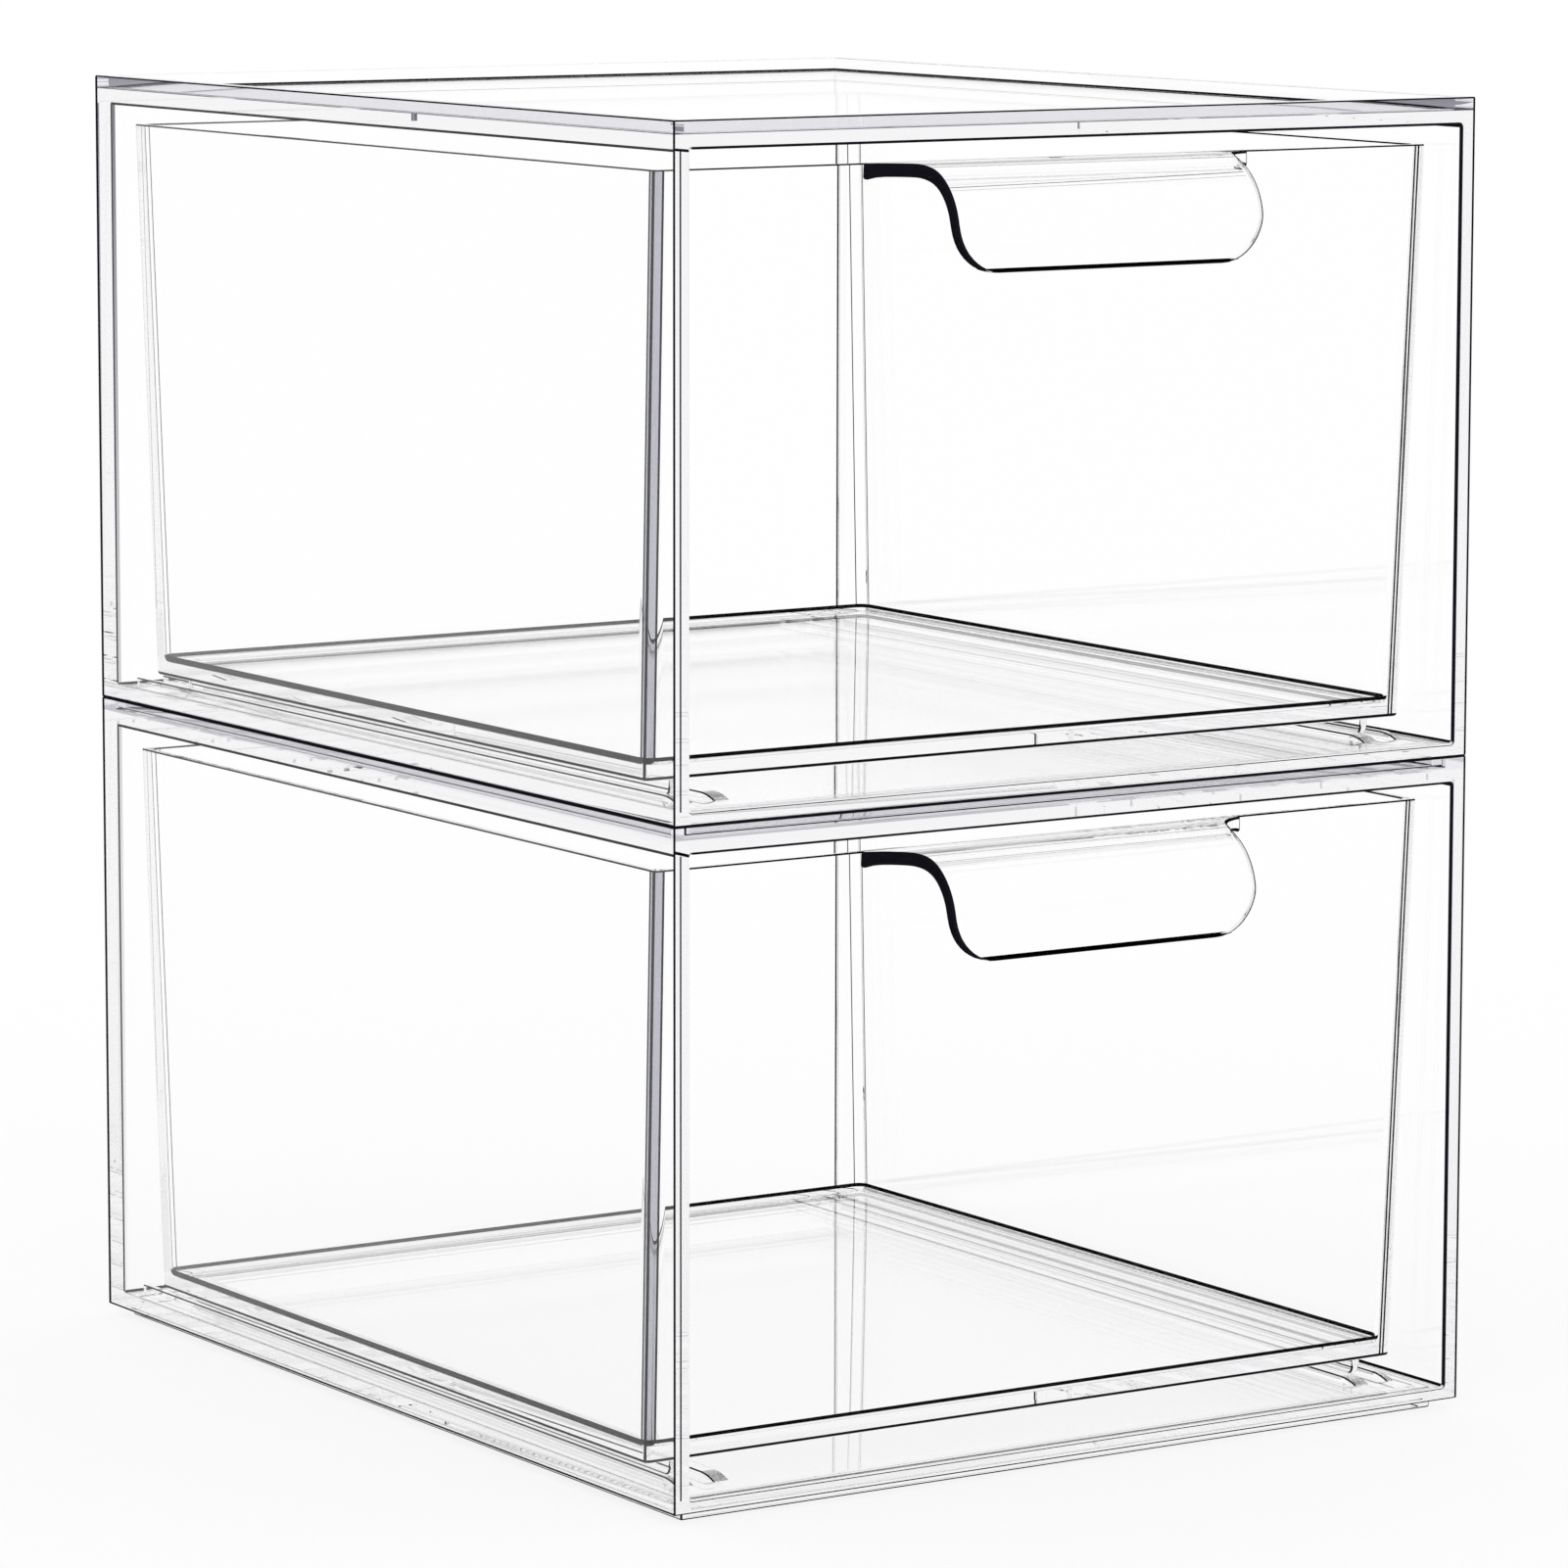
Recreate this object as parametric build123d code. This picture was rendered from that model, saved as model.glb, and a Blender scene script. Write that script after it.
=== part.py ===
"""Two stacked clear storage drawers: each unit is an open-fronted case and a bin that slides out of it."""

import os

from build123d import *

# Driving dimensions, in millimetres

# Case, one clear moulding with an open front
CASE_WIDTH = 156.5
CASE_DEPTH = 190.8
CASE_HEIGHT = 109.8  # lower edge of the outer wall to the top of the stacking rim
CASE_WALL = 3.0
CASE_FLOOR = 2.3
CASE_TOP = 2.4
CASE_CORNER_RADIUS = 0.4
CASE_INNER_RADIUS = 0.9

# Stacking: the skirt under one unit drops inside the rim on top of the next
RIM_HEIGHT = 2.2
SKIRT_DROP = 1.8
SKIRT_WIDTH = 1.7
SKIRT_CLEARANCE = 0.3

# Drawer, one clear moulding that widens towards its open top
DRAWER_WALL = 1.4
DRAWER_FLOOR = 2.4
DRAWER_SETBACK = 8.5  # case front to the drawer's top front edge
DRAWER_BACK_GAP = 8.2
DRAWER_SIDE_GAP = 0.5
DRAWER_TOP_GAP = 3.5
SIDE_DRAFT = 0.9  # how far each wall leans in from the top edge to the bottom
FRONT_LEAN = 4.3
BACK_LEAN = 4.5
DRAWER_CORNER_RADIUS = 1.0
DRAWER_INNER_RADIUS = 2.0
DRAWER_BOTTOM_RADIUS = 0.7
DRAWER_FLOOR_RADIUS = 1.3

# Runners under the drawer, and the pairs of guide ribs that they slide between
RUNNER_HEIGHT = 2.8
RUNNER_WIDTH = 1.5
RUNNER_INSET = 6.2  # bottom side edge of the drawer to the middle of a runner
RUNNER_END_INSET = 1.6
RUNNER_CLEARANCE = 0.3
GUIDE_HEIGHT = 1.0
GUIDE_CLEARANCE = 1.2
GUIDE_FRONT_INSET = 8.0
GUIDE_NOSE_LENGTH = 4.5
INNER_GUIDE_WIDTH = 2.8
OUTER_GUIDE_WIDTH = 1.3

# Handle lip, a tongue that runs forward from the drawer's top edge and curls down
LIP_HALF_WIDTH = 30.0
LIP_THICKNESS = 2.2
LIP_FLAT = 4.3
LIP_BEND_RADIUS = 11.0
LIP_DROP = 17.0
LIP_CORNER_RADIUS = 8.2
LIP_FLARE_RADIUS = 10.0
LIP_ROOT_RADIUS = 3.0

UNIT_NAMES = ("lower", "upper")
CUT_MARGIN = 5.0

# Places worked out from the driving dimensions. The origin is the centre of the stack's footprint.
LIP_REACH = LIP_FLAT + LIP_BEND_RADIUS
LIP_OVERHANG = max(0.0, LIP_REACH - DRAWER_SETBACK)
CASE_FRONT = LIP_OVERHANG / 2 - CASE_DEPTH / 2
CASE_BACK = CASE_FRONT + CASE_DEPTH
CASE_MIDDLE = (CASE_FRONT + CASE_BACK) / 2
CASE_BOTTOM = SKIRT_DROP
FLOOR_LEVEL = CASE_BOTTOM + CASE_FLOOR
RIM_LEVEL = CASE_BOTTOM + CASE_HEIGHT
PANEL_LEVEL = RIM_LEVEL - RIM_HEIGHT
CEILING_LEVEL = PANEL_LEVEL - CASE_TOP

DRAWER_BOTTOM = FLOOR_LEVEL + RUNNER_CLEARANCE + RUNNER_HEIGHT
DRAWER_TOP = CEILING_LEVEL - DRAWER_TOP_GAP
DRAWER_HALF_WIDTH = CASE_WIDTH / 2 - CASE_WALL - DRAWER_SIDE_GAP
DRAWER_FRONT = CASE_FRONT + DRAWER_SETBACK
DRAWER_BACK = CASE_BACK - CASE_WALL - DRAWER_BACK_GAP

RUNNER_X = DRAWER_HALF_WIDTH - SIDE_DRAFT - RUNNER_INSET
GUIDE_FRONT = CASE_FRONT + GUIDE_FRONT_INSET


def block(x_low, x_high, y_low, y_high, z_low, z_high):
    """A rectangular block between two corners."""
    size = (x_high - x_low, y_high - y_low, z_high - z_low)
    return Pos(x_low, y_low, z_low) * Box(*size, align=(Align.MIN, Align.MIN, Align.MIN))


def footprint(inset, z_low, z_high):
    """A block of the case's footprint, drawn in by inset on all four sides."""
    half = CASE_WIDTH / 2 - inset
    return block(-half, half, CASE_FRONT + inset, CASE_BACK - inset, z_low, z_high)


def on_both_sides(solid):
    """A solid on the right, with its mirror image on the left."""
    return [solid, mirror(solid, about=Plane.YZ)]


def case_shell():
    """Outer box, hollowed from the front, with the stacking recess sunk in its top."""
    box = footprint(0, CASE_BOTTOM, RIM_LEVEL)
    box = fillet(box.edges().filter_by(Axis.Z), CASE_CORNER_RADIUS)
    inner_half = CASE_WIDTH / 2 - CASE_WALL
    hollow = block(
        -inner_half, inner_half, CASE_FRONT - CUT_MARGIN, CASE_BACK - CASE_WALL, FLOOR_LEVEL, CEILING_LEVEL
    )
    rounded = hollow.edges().filter_by(Axis.Y) + hollow.faces().sort_by(Axis.Y)[-1].edges()
    hollow = fillet(rounded, CASE_INNER_RADIUS)
    recess = footprint(CASE_WALL, PANEL_LEVEL, RIM_LEVEL + CUT_MARGIN)
    return box - hollow - recess


def skirt():
    """Ring under the case that locates it inside the rim of the unit below."""
    outside = CASE_WALL + SKIRT_CLEARANCE
    ring = footprint(outside, CASE_BOTTOM - SKIRT_DROP, CASE_BOTTOM)
    return ring - footprint(outside + SKIRT_WIDTH, CASE_BOTTOM - SKIRT_DROP, CASE_BOTTOM)


def rounded_rib(middle_x, width, y_low, y_high, z_base, height, nose):
    """A straight rib along Y whose upper edge falls away in an arc at its front end."""
    start = (y_low, z_base)
    crest = (y_low + nose, z_base + height)
    top_back = (y_high, z_base + height)
    bottom_back = (y_high, z_base)
    outline = TangentArc(crest, start, tangent=(-1, 0))
    outline += Polyline(crest, top_back, bottom_back, start)
    side = Plane.YZ * make_face(outline)
    return Pos(middle_x - width / 2, 0, 0) * extrude(side, width, dir=(1, 0, 0))


def guide_ribs():
    """A wide inner rib and a narrow outer rib on the right of the floor, with the runner's channel between."""
    channel = RUNNER_WIDTH / 2 + GUIDE_CLEARANCE
    inner_x = RUNNER_X - channel - INNER_GUIDE_WIDTH / 2
    outer_x = RUNNER_X + channel + OUTER_GUIDE_WIDTH / 2
    ribs = []
    for middle_x, width in ((inner_x, INNER_GUIDE_WIDTH), (outer_x, OUTER_GUIDE_WIDTH)):
        ribs += on_both_sides(
            rounded_rib(
                middle_x, width, GUIDE_FRONT, CASE_BACK - CASE_WALL, FLOOR_LEVEL, GUIDE_HEIGHT, GUIDE_NOSE_LENGTH
            )
        )
    return ribs


def make_case():
    """One case: shell, skirt and guide ribs in one moulding."""
    case = case_shell() + skirt()
    for rib in guide_ribs():
        case += rib
    return case


def lean_at(z):
    """How much of its lean a drawer wall has at height z: none at the top edge, all of it at the bottom."""
    return (DRAWER_TOP - z) / (DRAWER_TOP - DRAWER_BOTTOM)


def side_at(z):
    """Distance from the middle to the drawer's outer side at height z."""
    return DRAWER_HALF_WIDTH - SIDE_DRAFT * lean_at(z)


def front_at(z):
    """Place of the drawer's outer front at height z."""
    return DRAWER_FRONT + FRONT_LEAN * lean_at(z)


def back_at(z):
    """Place of the drawer's outer back at height z."""
    return DRAWER_BACK - BACK_LEAN * lean_at(z)


def tapered_block(inset, z_low, z_high):
    """The drawer's four leaning sides between two heights, all drawn in by inset."""
    front_view = [(side_at(z) - inset, z) for z in (z_low, z_high)]
    front_view += [(inset - side_at(z), z) for z in (z_high, z_low)]
    side_view = [(front_at(z) + inset, z) for z in (z_low, z_high)]
    side_view += [(back_at(z) - inset, z) for z in (z_high, z_low)]
    lengthwise = extrude(Plane.XZ * make_face(Polyline(*front_view, close=True)), CASE_DEPTH, both=True)
    crosswise = extrude(Plane.YZ * make_face(Polyline(*side_view, close=True)), CASE_WIDTH, both=True)
    return lengthwise & crosswise


def rounded_tub(inset, z_low, z_high, corner_radius, bottom_radius):
    """A tapered block with its four upright corners and the edges of its bottom rounded."""
    tub = tapered_block(inset, z_low, z_high)
    upright = [edge for edge in tub.edges() if edge.bounding_box().size.Z > (z_high - z_low) / 2]
    tub = fillet(upright, corner_radius)
    return fillet(tub.faces().sort_by(Axis.Z)[0].edges(), bottom_radius)


def bin_shell():
    """Tapered tub with an open top, rounded at its corners and round its floor."""
    outside = rounded_tub(0, DRAWER_BOTTOM, DRAWER_TOP, DRAWER_CORNER_RADIUS, DRAWER_BOTTOM_RADIUS)
    inside = rounded_tub(
        DRAWER_WALL, DRAWER_BOTTOM + DRAWER_FLOOR, DRAWER_TOP + CUT_MARGIN, DRAWER_INNER_RADIUS, DRAWER_FLOOR_RADIUS
    )
    return outside - inside


def runners():
    """A rib under each side of the drawer that rides in the channel on the case floor."""
    z_base = DRAWER_BOTTOM - RUNNER_HEIGHT
    y_low = front_at(DRAWER_BOTTOM) + RUNNER_END_INSET
    y_high = back_at(DRAWER_BOTTOM) - RUNNER_END_INSET
    half = RUNNER_WIDTH / 2
    rib = block(RUNNER_X - half, RUNNER_X + half, y_low, y_high, z_base, DRAWER_BOTTOM + DRAWER_FLOOR / 2)
    ends = rib.faces().sort_by(Axis.Z)[0].edges().filter_by(Axis.X)
    return on_both_sides(fillet(ends, RUNNER_HEIGHT / 2))


def lip_profile():
    """Side view of the lip: flat at the root, one bend, straight down to the tip."""
    front = DRAWER_FRONT
    bend_start = front - LIP_FLAT
    face = bend_start - LIP_BEND_RADIUS
    bend_low = DRAWER_TOP - LIP_BEND_RADIUS
    tip = DRAWER_TOP - LIP_DROP
    underside = DRAWER_TOP - LIP_THICKNESS
    anchor = front + DRAWER_WALL
    root = min(LIP_ROOT_RADIUS, LIP_FLAT)
    root_low = underside - root
    root_end = (front_at(root_low), root_low)
    outline = Polyline(root_end, (anchor, root_low), (anchor, DRAWER_TOP), (bend_start, DRAWER_TOP))
    outline += TangentArc((bend_start, DRAWER_TOP), (face, bend_low), tangent=(-1, 0))
    outline += Polyline((face, bend_low), (face, tip), (face + LIP_THICKNESS, tip), (face + LIP_THICKNESS, bend_low))
    outline += TangentArc((face + LIP_THICKNESS, bend_low), (bend_start, underside), tangent=(0, 1))
    root_start = front - root
    if root_start > bend_start:
        outline += Line((bend_start, underside), (root_start, underside))
    outline += TangentArc((root_start, underside), root_end, tangent=(1, 0))
    return make_face(outline)


def lip_plan():
    """Seen from above: a straight tongue that flares into the drawer's front edge."""
    outer = LIP_HALF_WIDTH + LIP_FLARE_RADIUS
    flare_front = DRAWER_FRONT - LIP_FLARE_RADIUS
    reach = DRAWER_FRONT - LIP_REACH - CUT_MARGIN
    back = DRAWER_FRONT + DRAWER_WALL
    outline = Polyline((outer, DRAWER_FRONT), (outer, back), (-outer, back), (-outer, DRAWER_FRONT))
    outline += TangentArc((-outer, DRAWER_FRONT), (-LIP_HALF_WIDTH, flare_front), tangent=(1, 0))
    outline += Polyline(
        (-LIP_HALF_WIDTH, flare_front), (-LIP_HALF_WIDTH, reach), (LIP_HALF_WIDTH, reach), (LIP_HALF_WIDTH, flare_front)
    )
    outline += TangentArc((LIP_HALF_WIDTH, flare_front), (outer, DRAWER_FRONT), tangent=(0, 1))
    return extrude(Pos(0, 0, DRAWER_TOP + CUT_MARGIN) * make_face(outline), -(LIP_DROP + 2 * CUT_MARGIN))


def lip_front_view():
    """Seen from the front: the tongue's two lower corners are rounded."""
    outer = LIP_HALF_WIDTH + LIP_FLARE_RADIUS
    tip = DRAWER_TOP - LIP_DROP
    shoulder = tip + LIP_CORNER_RADIUS
    y_far = DRAWER_FRONT - LIP_REACH - CUT_MARGIN
    tongue = block(-LIP_HALF_WIDTH, LIP_HALF_WIDTH, y_far, DRAWER_FRONT + DRAWER_WALL, tip, DRAWER_TOP)
    lower_corners = tongue.edges().filter_by(Axis.Y).sort_by(Axis.Z)[:2]
    tongue = fillet(lower_corners, LIP_CORNER_RADIUS)
    return tongue + block(-outer, outer, y_far, DRAWER_FRONT + DRAWER_WALL, shoulder, DRAWER_TOP)


def handle_lip():
    """The tongue: its side view drawn across the width, trimmed by its plan and its front view."""
    outer = LIP_HALF_WIDTH + LIP_FLARE_RADIUS
    sheet = Pos(-outer, 0, 0) * extrude(Plane.YZ * lip_profile(), 2 * outer, dir=(1, 0, 0))
    return sheet & lip_plan() & lip_front_view()


def make_drawer():
    """One drawer: tub, runners and handle lip in one moulding."""
    drawer = bin_shell() + handle_lip()
    for runner in runners():
        drawer += runner
    return drawer


def main():
    os.makedirs("parts", exist_ok=True)
    case, drawer = make_case(), make_drawer()
    for level, name in enumerate(UNIT_NAMES):
        lift = Pos(0, 0, level * CASE_HEIGHT)
        export_step(lift * case, f"parts/{name}_case.step")
        export_step(lift * drawer, f"parts/{name}_drawer.step")


main()
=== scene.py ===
"""Two stacked clear storage drawers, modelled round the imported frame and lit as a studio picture.

Each unit is an open-fronted case and a tapered drawer with a curled handle lip. Lengths in the
settings are in metres, which is Blender's own unit.
"""

import math
from types import SimpleNamespace

import bmesh
import bpy
from bpy.props import FloatProperty, FloatVectorProperty, IntProperty, PointerProperty
from mathutils import Matrix, Vector


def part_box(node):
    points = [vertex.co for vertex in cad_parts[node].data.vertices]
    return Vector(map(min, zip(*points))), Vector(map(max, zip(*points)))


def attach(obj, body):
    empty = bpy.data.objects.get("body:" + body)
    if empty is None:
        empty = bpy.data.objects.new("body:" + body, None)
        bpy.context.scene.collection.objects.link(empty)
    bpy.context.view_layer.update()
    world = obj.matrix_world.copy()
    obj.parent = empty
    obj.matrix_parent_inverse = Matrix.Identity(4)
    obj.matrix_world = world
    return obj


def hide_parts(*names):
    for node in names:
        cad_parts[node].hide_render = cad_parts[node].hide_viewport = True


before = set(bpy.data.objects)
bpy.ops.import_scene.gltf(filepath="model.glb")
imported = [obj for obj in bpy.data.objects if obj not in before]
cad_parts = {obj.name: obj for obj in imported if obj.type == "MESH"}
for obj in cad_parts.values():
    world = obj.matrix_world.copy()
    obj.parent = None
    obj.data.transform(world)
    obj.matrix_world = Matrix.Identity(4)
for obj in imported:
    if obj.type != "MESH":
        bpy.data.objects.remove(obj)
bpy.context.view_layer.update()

bl_info = {
    "name": "Clear Stacking Drawers",
    "version": (1, 0, 0),
    "blender": (4, 5, 0),
    "location": "View3D > Sidebar > Drawers",
    "description": "Models two stacked clear storage drawers and the studio they stand in",
    "category": "Add Mesh",
}

MM = 0.001
UNITS = ("lower", "upper")
# Material slots: all but the first carry painted shade or a painted reflection
CLEAR_SLOT, PAINTED_EDGE_SHADE_SLOT, PAINTED_OUTLINE_SHADE_SLOT, PAINTED_INLINE_SHADE_SLOT, PAINTED_RIM_REFLECTION_SLOT, PAINTED_CORNER_SHADE_SLOT = range(6)

# Least part of a face's normal along an axis, which tells where the face looks
ASKEW = 0.1  # it looks a little along the axis
ALONG = 0.9  # it looks along the axis
LEANING = 0.99  # it looks along the axis, but for a wall's lean
SQUARE = 0.999  # it looks straight along the axis
FLOOR_LINE_BACKWARD = 0.6  # it looks back, so that it lies along the front of the floor
FLOOR_LINE_RIGHTWARD = 0.5  # it looks right, so that it lies along the left of the floor
LIP_RIGHTWARD = 0.2  # it looks right, so that it lies on the far side of the lip

# Turns of the faces that carry a painted dark line of shade or a painted tint on a rounding, in degrees
BACK_UPRIGHT_DARK = (60, 90)
BACK_UPRIGHT_FINE = (45, 60)
MOUTH_FLOOR_CLEAR = (20, 90)
NEAR_CORNER_DARK = (28, 68)
NEAR_CORNER_PAINTED_SHADE = (39, 56)
FAR_CORNER_DARK = ((5, 12), (78, 85))
NEAR_EDGE_DARK = (45, 75)
FLOOR_LINE = (3, 27)
FLOOR_LINE_LEFT = (3, 58)
BOTTOM_LINE = (3, 42)
LIP_SIDE_DARK = (17.5, 90)
LIP_UNDER_DARK = (72, 90)

# Faces across a rounding
CORNER_FACES = 16
BEND_FACES = 6
MOUTH_FACES = 5
EDGE_FACES = 4
SMALL_FACES = 3

QUARTER = math.radians(90)
SHARP = math.radians(40)  # least turn of an edge that is rounded
SMOOTH = math.radians(30)  # greatest turn of an edge that is shaded smooth
SHADING_WEIGHT = 100  # the weight at which the broad faces settle the shading
LIP_ROOT_TURNS = (14, 22, 30, 38, 46)  # places along the lip's flared root, in degrees of the flare

SAME = 0.02 * MM  # two places nearer than this are one
SLACK = 0.1 * MM  # room for an edge that a rounding has moved
FLUSH_STEP = 0.02 * MM  # step between two faces that would lie in one plane before they are joined


# Settings


def length(name, description, millimetres):
    """A length setting whose default is given in millimetres."""
    return FloatProperty(
        name=name,
        description=description,
        default=millimetres * MM,
        min=0.0,
        unit="LENGTH",
        subtype="DISTANCE",
    )


def count(name, description, number):
    """A whole number of faces or turns."""
    return IntProperty(name=name, description=description, default=number, min=2)


def share(name, description, value):
    """A setting from 0 to 1."""
    return FloatProperty(
        name=name, description=description, default=value, min=0.0, max=1.0, subtype="FACTOR"
    )


def angle(name, description, degrees):
    """An angle setting whose default is given in degrees."""
    return FloatProperty(
        name=name, description=description, default=math.radians(degrees), unit="ROTATION", subtype="ANGLE"
    )


def linear(code):
    """An sRGB hex value, such as "f0f0f4", as linear red, green and blue."""
    shares = [int(code[at : at + 2], 16) / 255 for at in (0, 2, 4)]
    return tuple(s / 12.92 if s <= 0.04045 else ((s + 0.055) / 1.055) ** 2.4 for s in shares)


def tint(name, description, code):
    """A colour setting whose default is an sRGB hex value."""
    return FloatVectorProperty(
        name=name, description=description, size=3, default=linear(code), min=0.0, max=1.0, subtype="COLOR"
    )


class CaseSettings(bpy.types.PropertyGroup):
    wall: length("Wall", "Thickness of the sides, the back and the stacking rim", 3.0)
    floor: length("Floor", "Thickness of the floor", 2.3)
    top: length("Top panel", "Thickness of the panel under the stacking rim", 2.4)
    rim_height: length("Rim height", "How far the stacking rim stands above the top panel", 2.2)
    skirt_drop: length("Skirt drop", "How far the skirt hangs below the outer walls", 1.8)
    skirt_width: length("Skirt width", "Thickness of the skirt", 1.7)
    skirt_clearance: length("Skirt clearance", "Gap between the skirt and the rim below it", 0.3)
    inner_radius: length("Inner radius", "Rounding of the corners inside the case", 0.4)
    back_radius: length("Back radius", "Rounding of the two upright corners inside the back", 1.2)
    mouth_radius: length("Mouth radius", "Rounding of the mouth's edges", 0.45)
    # Painted shade: the dark lines below are painted onto the case's flat faces
    back_line: length("Back line", "Width of the dark line along the back edge of each side", 1.0)
    bottom_line: length("Bottom line", "Height of the dark line along the lower edge of each side", 0.4)
    front_line: length("Front line", "Width of the dark line along the right edge of the front", 0.55)
    second_line: length("Second line", "Left edge to the dark line on the left wall's front end", 1.05)
    second_width: length("Second line's width", "Width of the dark line on the left wall's front end", 0.3)
    root_radius: length("Root radius", "Rounding at the foot of the rim and of the skirt", 0.3)
    guide_height: length("Guide height", "Height of the guide ribs on the floor", 1.0)
    guide_inset: length("Guide inset", "Front of the case to the front of the guide ribs", 8.0)
    guide_nose: length("Guide nose", "Length of the curved front end of a guide rib", 4.5)
    guide_nose_steps: count("Guide nose steps", "Faces along the curved front end of a guide rib", 8)
    guide_edge_radius: length("Guide edge radius", "Rounding of the guide ribs' edges", 0.2)
    inner_guide_width: length("Inner guide width", "Width of each guide rib on the middle's side", 2.8)
    outer_guide_width: length("Outer guide width", "Width of each guide rib on the wall's side", 1.3)
    guide_clearance: length("Guide clearance", "Gap between a runner and the guide ribs beside it", 1.2)


class DrawerSettings(bpy.types.PropertyGroup):
    wall: length("Wall", "Thickness of the drawer's four walls", 1.4)
    floor: length("Floor", "Thickness of the drawer's floor", 2.4)
    side_draft: length("Side draft", "How far each side leans in from the top to the bottom", 0.9)
    front_lean: length("Front lean", "How far the front leans in from the top to the bottom", 4.3)
    back_lean: length("Back lean", "How far the back leans in from the top to the bottom", 4.5)
    corner_radius: length("Corner radius", "Rounding of the upright outer corners", 1.0)
    inner_radius: length("Inner radius", "Rounding of the upright inner corners", 2.0)
    bottom_radius: length("Bottom radius", "Rounding round the outside of the bottom", 0.7)
    floor_radius: length("Floor radius", "Rounding round the inside of the floor", 1.3)
    # Painted shade: the dark lines below are painted onto the drawer's front
    first_line: length("First line", "Right edge of the front to the first dark line", 1.5)
    second_line: length("Second line", "Right edge of the front to the second dark line", 2.15)
    line_width: length("Line width", "Width of the dark lines on the front's right edge", 0.35)
    runner_height: length("Runner height", "Height of the runners under the drawer", 2.8)
    runner_width: length("Runner width", "Width of each runner", 1.5)
    runner_inset: length("Runner inset", "Bottom side edge of the drawer to the middle of a runner", 6.2)
    runner_end: length("Runner end", "Bottom edge of the drawer to the end of a runner", 1.6)


class LipSettings(bpy.types.PropertyGroup):
    half_width: length("Half width", "Half the width of the handle lip", 30.0)
    thickness: length("Thickness", "Thickness of the handle lip", 2.2)
    flat: length("Flat", "Length of the flat part next to the drawer's front", 4.3)
    bend_radius: length("Bend radius", "Outer radius of the bend", 11.0)
    drop: length("Drop", "Height from the drawer's top edge down to the lip's tip", 17.0)
    corner_radius: length("Corner radius", "Rounding of the two lower corners", 8.2)
    flare_radius: length("Flare radius", "Radius of the flare into the drawer's front edge", 10.0)
    root_radius: length("Root radius", "Fillet between the lip and the drawer's front", 1.2)
    edge_radius: length("Edge radius", "Rounding of the lip's edges", 0.45)


class PlasticSettings(bpy.types.PropertyGroup):
    edge_radius: length("Edge radius", "Radius that every sharp moulded edge has", 0.25)
    body: tint("Clear body", "Colour of the clear plastic across one wall", "ffffff")
    # Painted shade: the dark colour painted on rounded edges and lines, in place of the dark surroundings
    # they would show
    edge: tint("Moulded edge", "Colour that a rounded edge gathers", "18181f")
    # Painted reflection: the pale lilac tint painted across the stacking rim
    band: tint("Rim band", "Colour across the stacking rim", "f0f0f6")
    # Painted shade: the lilac grey painted inside a thick rounded corner of the drawer
    corner: tint("Corner", "Colour inside a thick rounded corner", "8c8c9a")
    depth: tint("Depth", "Colour that light takes on along the inside of a wall", "cfced5")
    reflection: tint("Reflection", "Colour of head-on reflections, black as under a filter", "000000")
    # Painted shade: the share of light let through the painted dark edges
    edge_clearness: share("Edge clearness", "Share of light that gets through a dark edge", 0.0)
    density: FloatProperty(
        name="Density", description="How strongly a metre of plastic takes up light", default=1.2, min=0.0
    )
    ior: FloatProperty(name="IOR", description="Index of refraction", default=1.49, min=1.0, max=2.0)
    roughness: share("Roughness", "Roughness of the polished faces", 0.0)


class StudioSettings(bpy.types.PropertyGroup):
    azimuth: angle("Azimuth", "Turn of the camera about the stack", -33.028)
    elevation: angle("Elevation", "Camera's height as an angle", 7.982)
    roll: angle("Roll", "Turn of the camera about its own axis", 0.094)
    place: FloatVectorProperty(
        name="Camera place",
        description="Where the camera stands",
        default=(-0.67415, -1.03999, 0.27552),
        subtype="XYZ",
    )
    lens: FloatProperty(name="Lens", description="Focal length in millimetres", default=166.9, min=1.0)
    floor_size: length("Floor size", "Width of the pale floor", 40000.0)
    floor_colour: tint("Floor colour", "Colour of the pale floor", "fdfdfd")
    floor_glow: share("Floor glow", "Share of the floor's shadow that light from below takes away", 0.85)
    light: FloatProperty(name="Light", description="Strength of the even light", default=1.0, min=0.0)
    bounces: count("Bounces", "Turns of light that are followed inside a wall", 160)
    arc_steps: count("Arc steps", "Faces in a quarter turn of a large bend", 20)


class StackSettings(bpy.types.PropertyGroup):
    case: PointerProperty(type=CaseSettings)
    drawer: PointerProperty(type=DrawerSettings)
    lip: PointerProperty(type=LipSettings)
    plastic: PointerProperty(type=PlasticSettings)
    studio: PointerProperty(type=StudioSettings)


# Modelling by hand


def choose(piece):
    """Selects only one object and makes it the active one."""
    bpy.ops.object.select_all(action="DESELECT")
    bpy.context.view_layer.objects.active = piece
    piece.select_set(True)


def start_box(name, low, high):
    """A new box between two corners, with all the plastics on it, and nothing else selected."""
    bpy.ops.object.select_all(action="DESELECT")
    low, high = Vector(low), Vector(high)
    bpy.ops.mesh.primitive_cube_add(size=1.0, location=(low + high) / 2, scale=high - low)
    piece = bpy.context.object
    piece.name = piece.data.name = name
    bpy.ops.object.transform_apply(location=True, rotation=True, scale=True)
    for material in plastics():
        piece.data.materials.append(material)
    return piece


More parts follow.
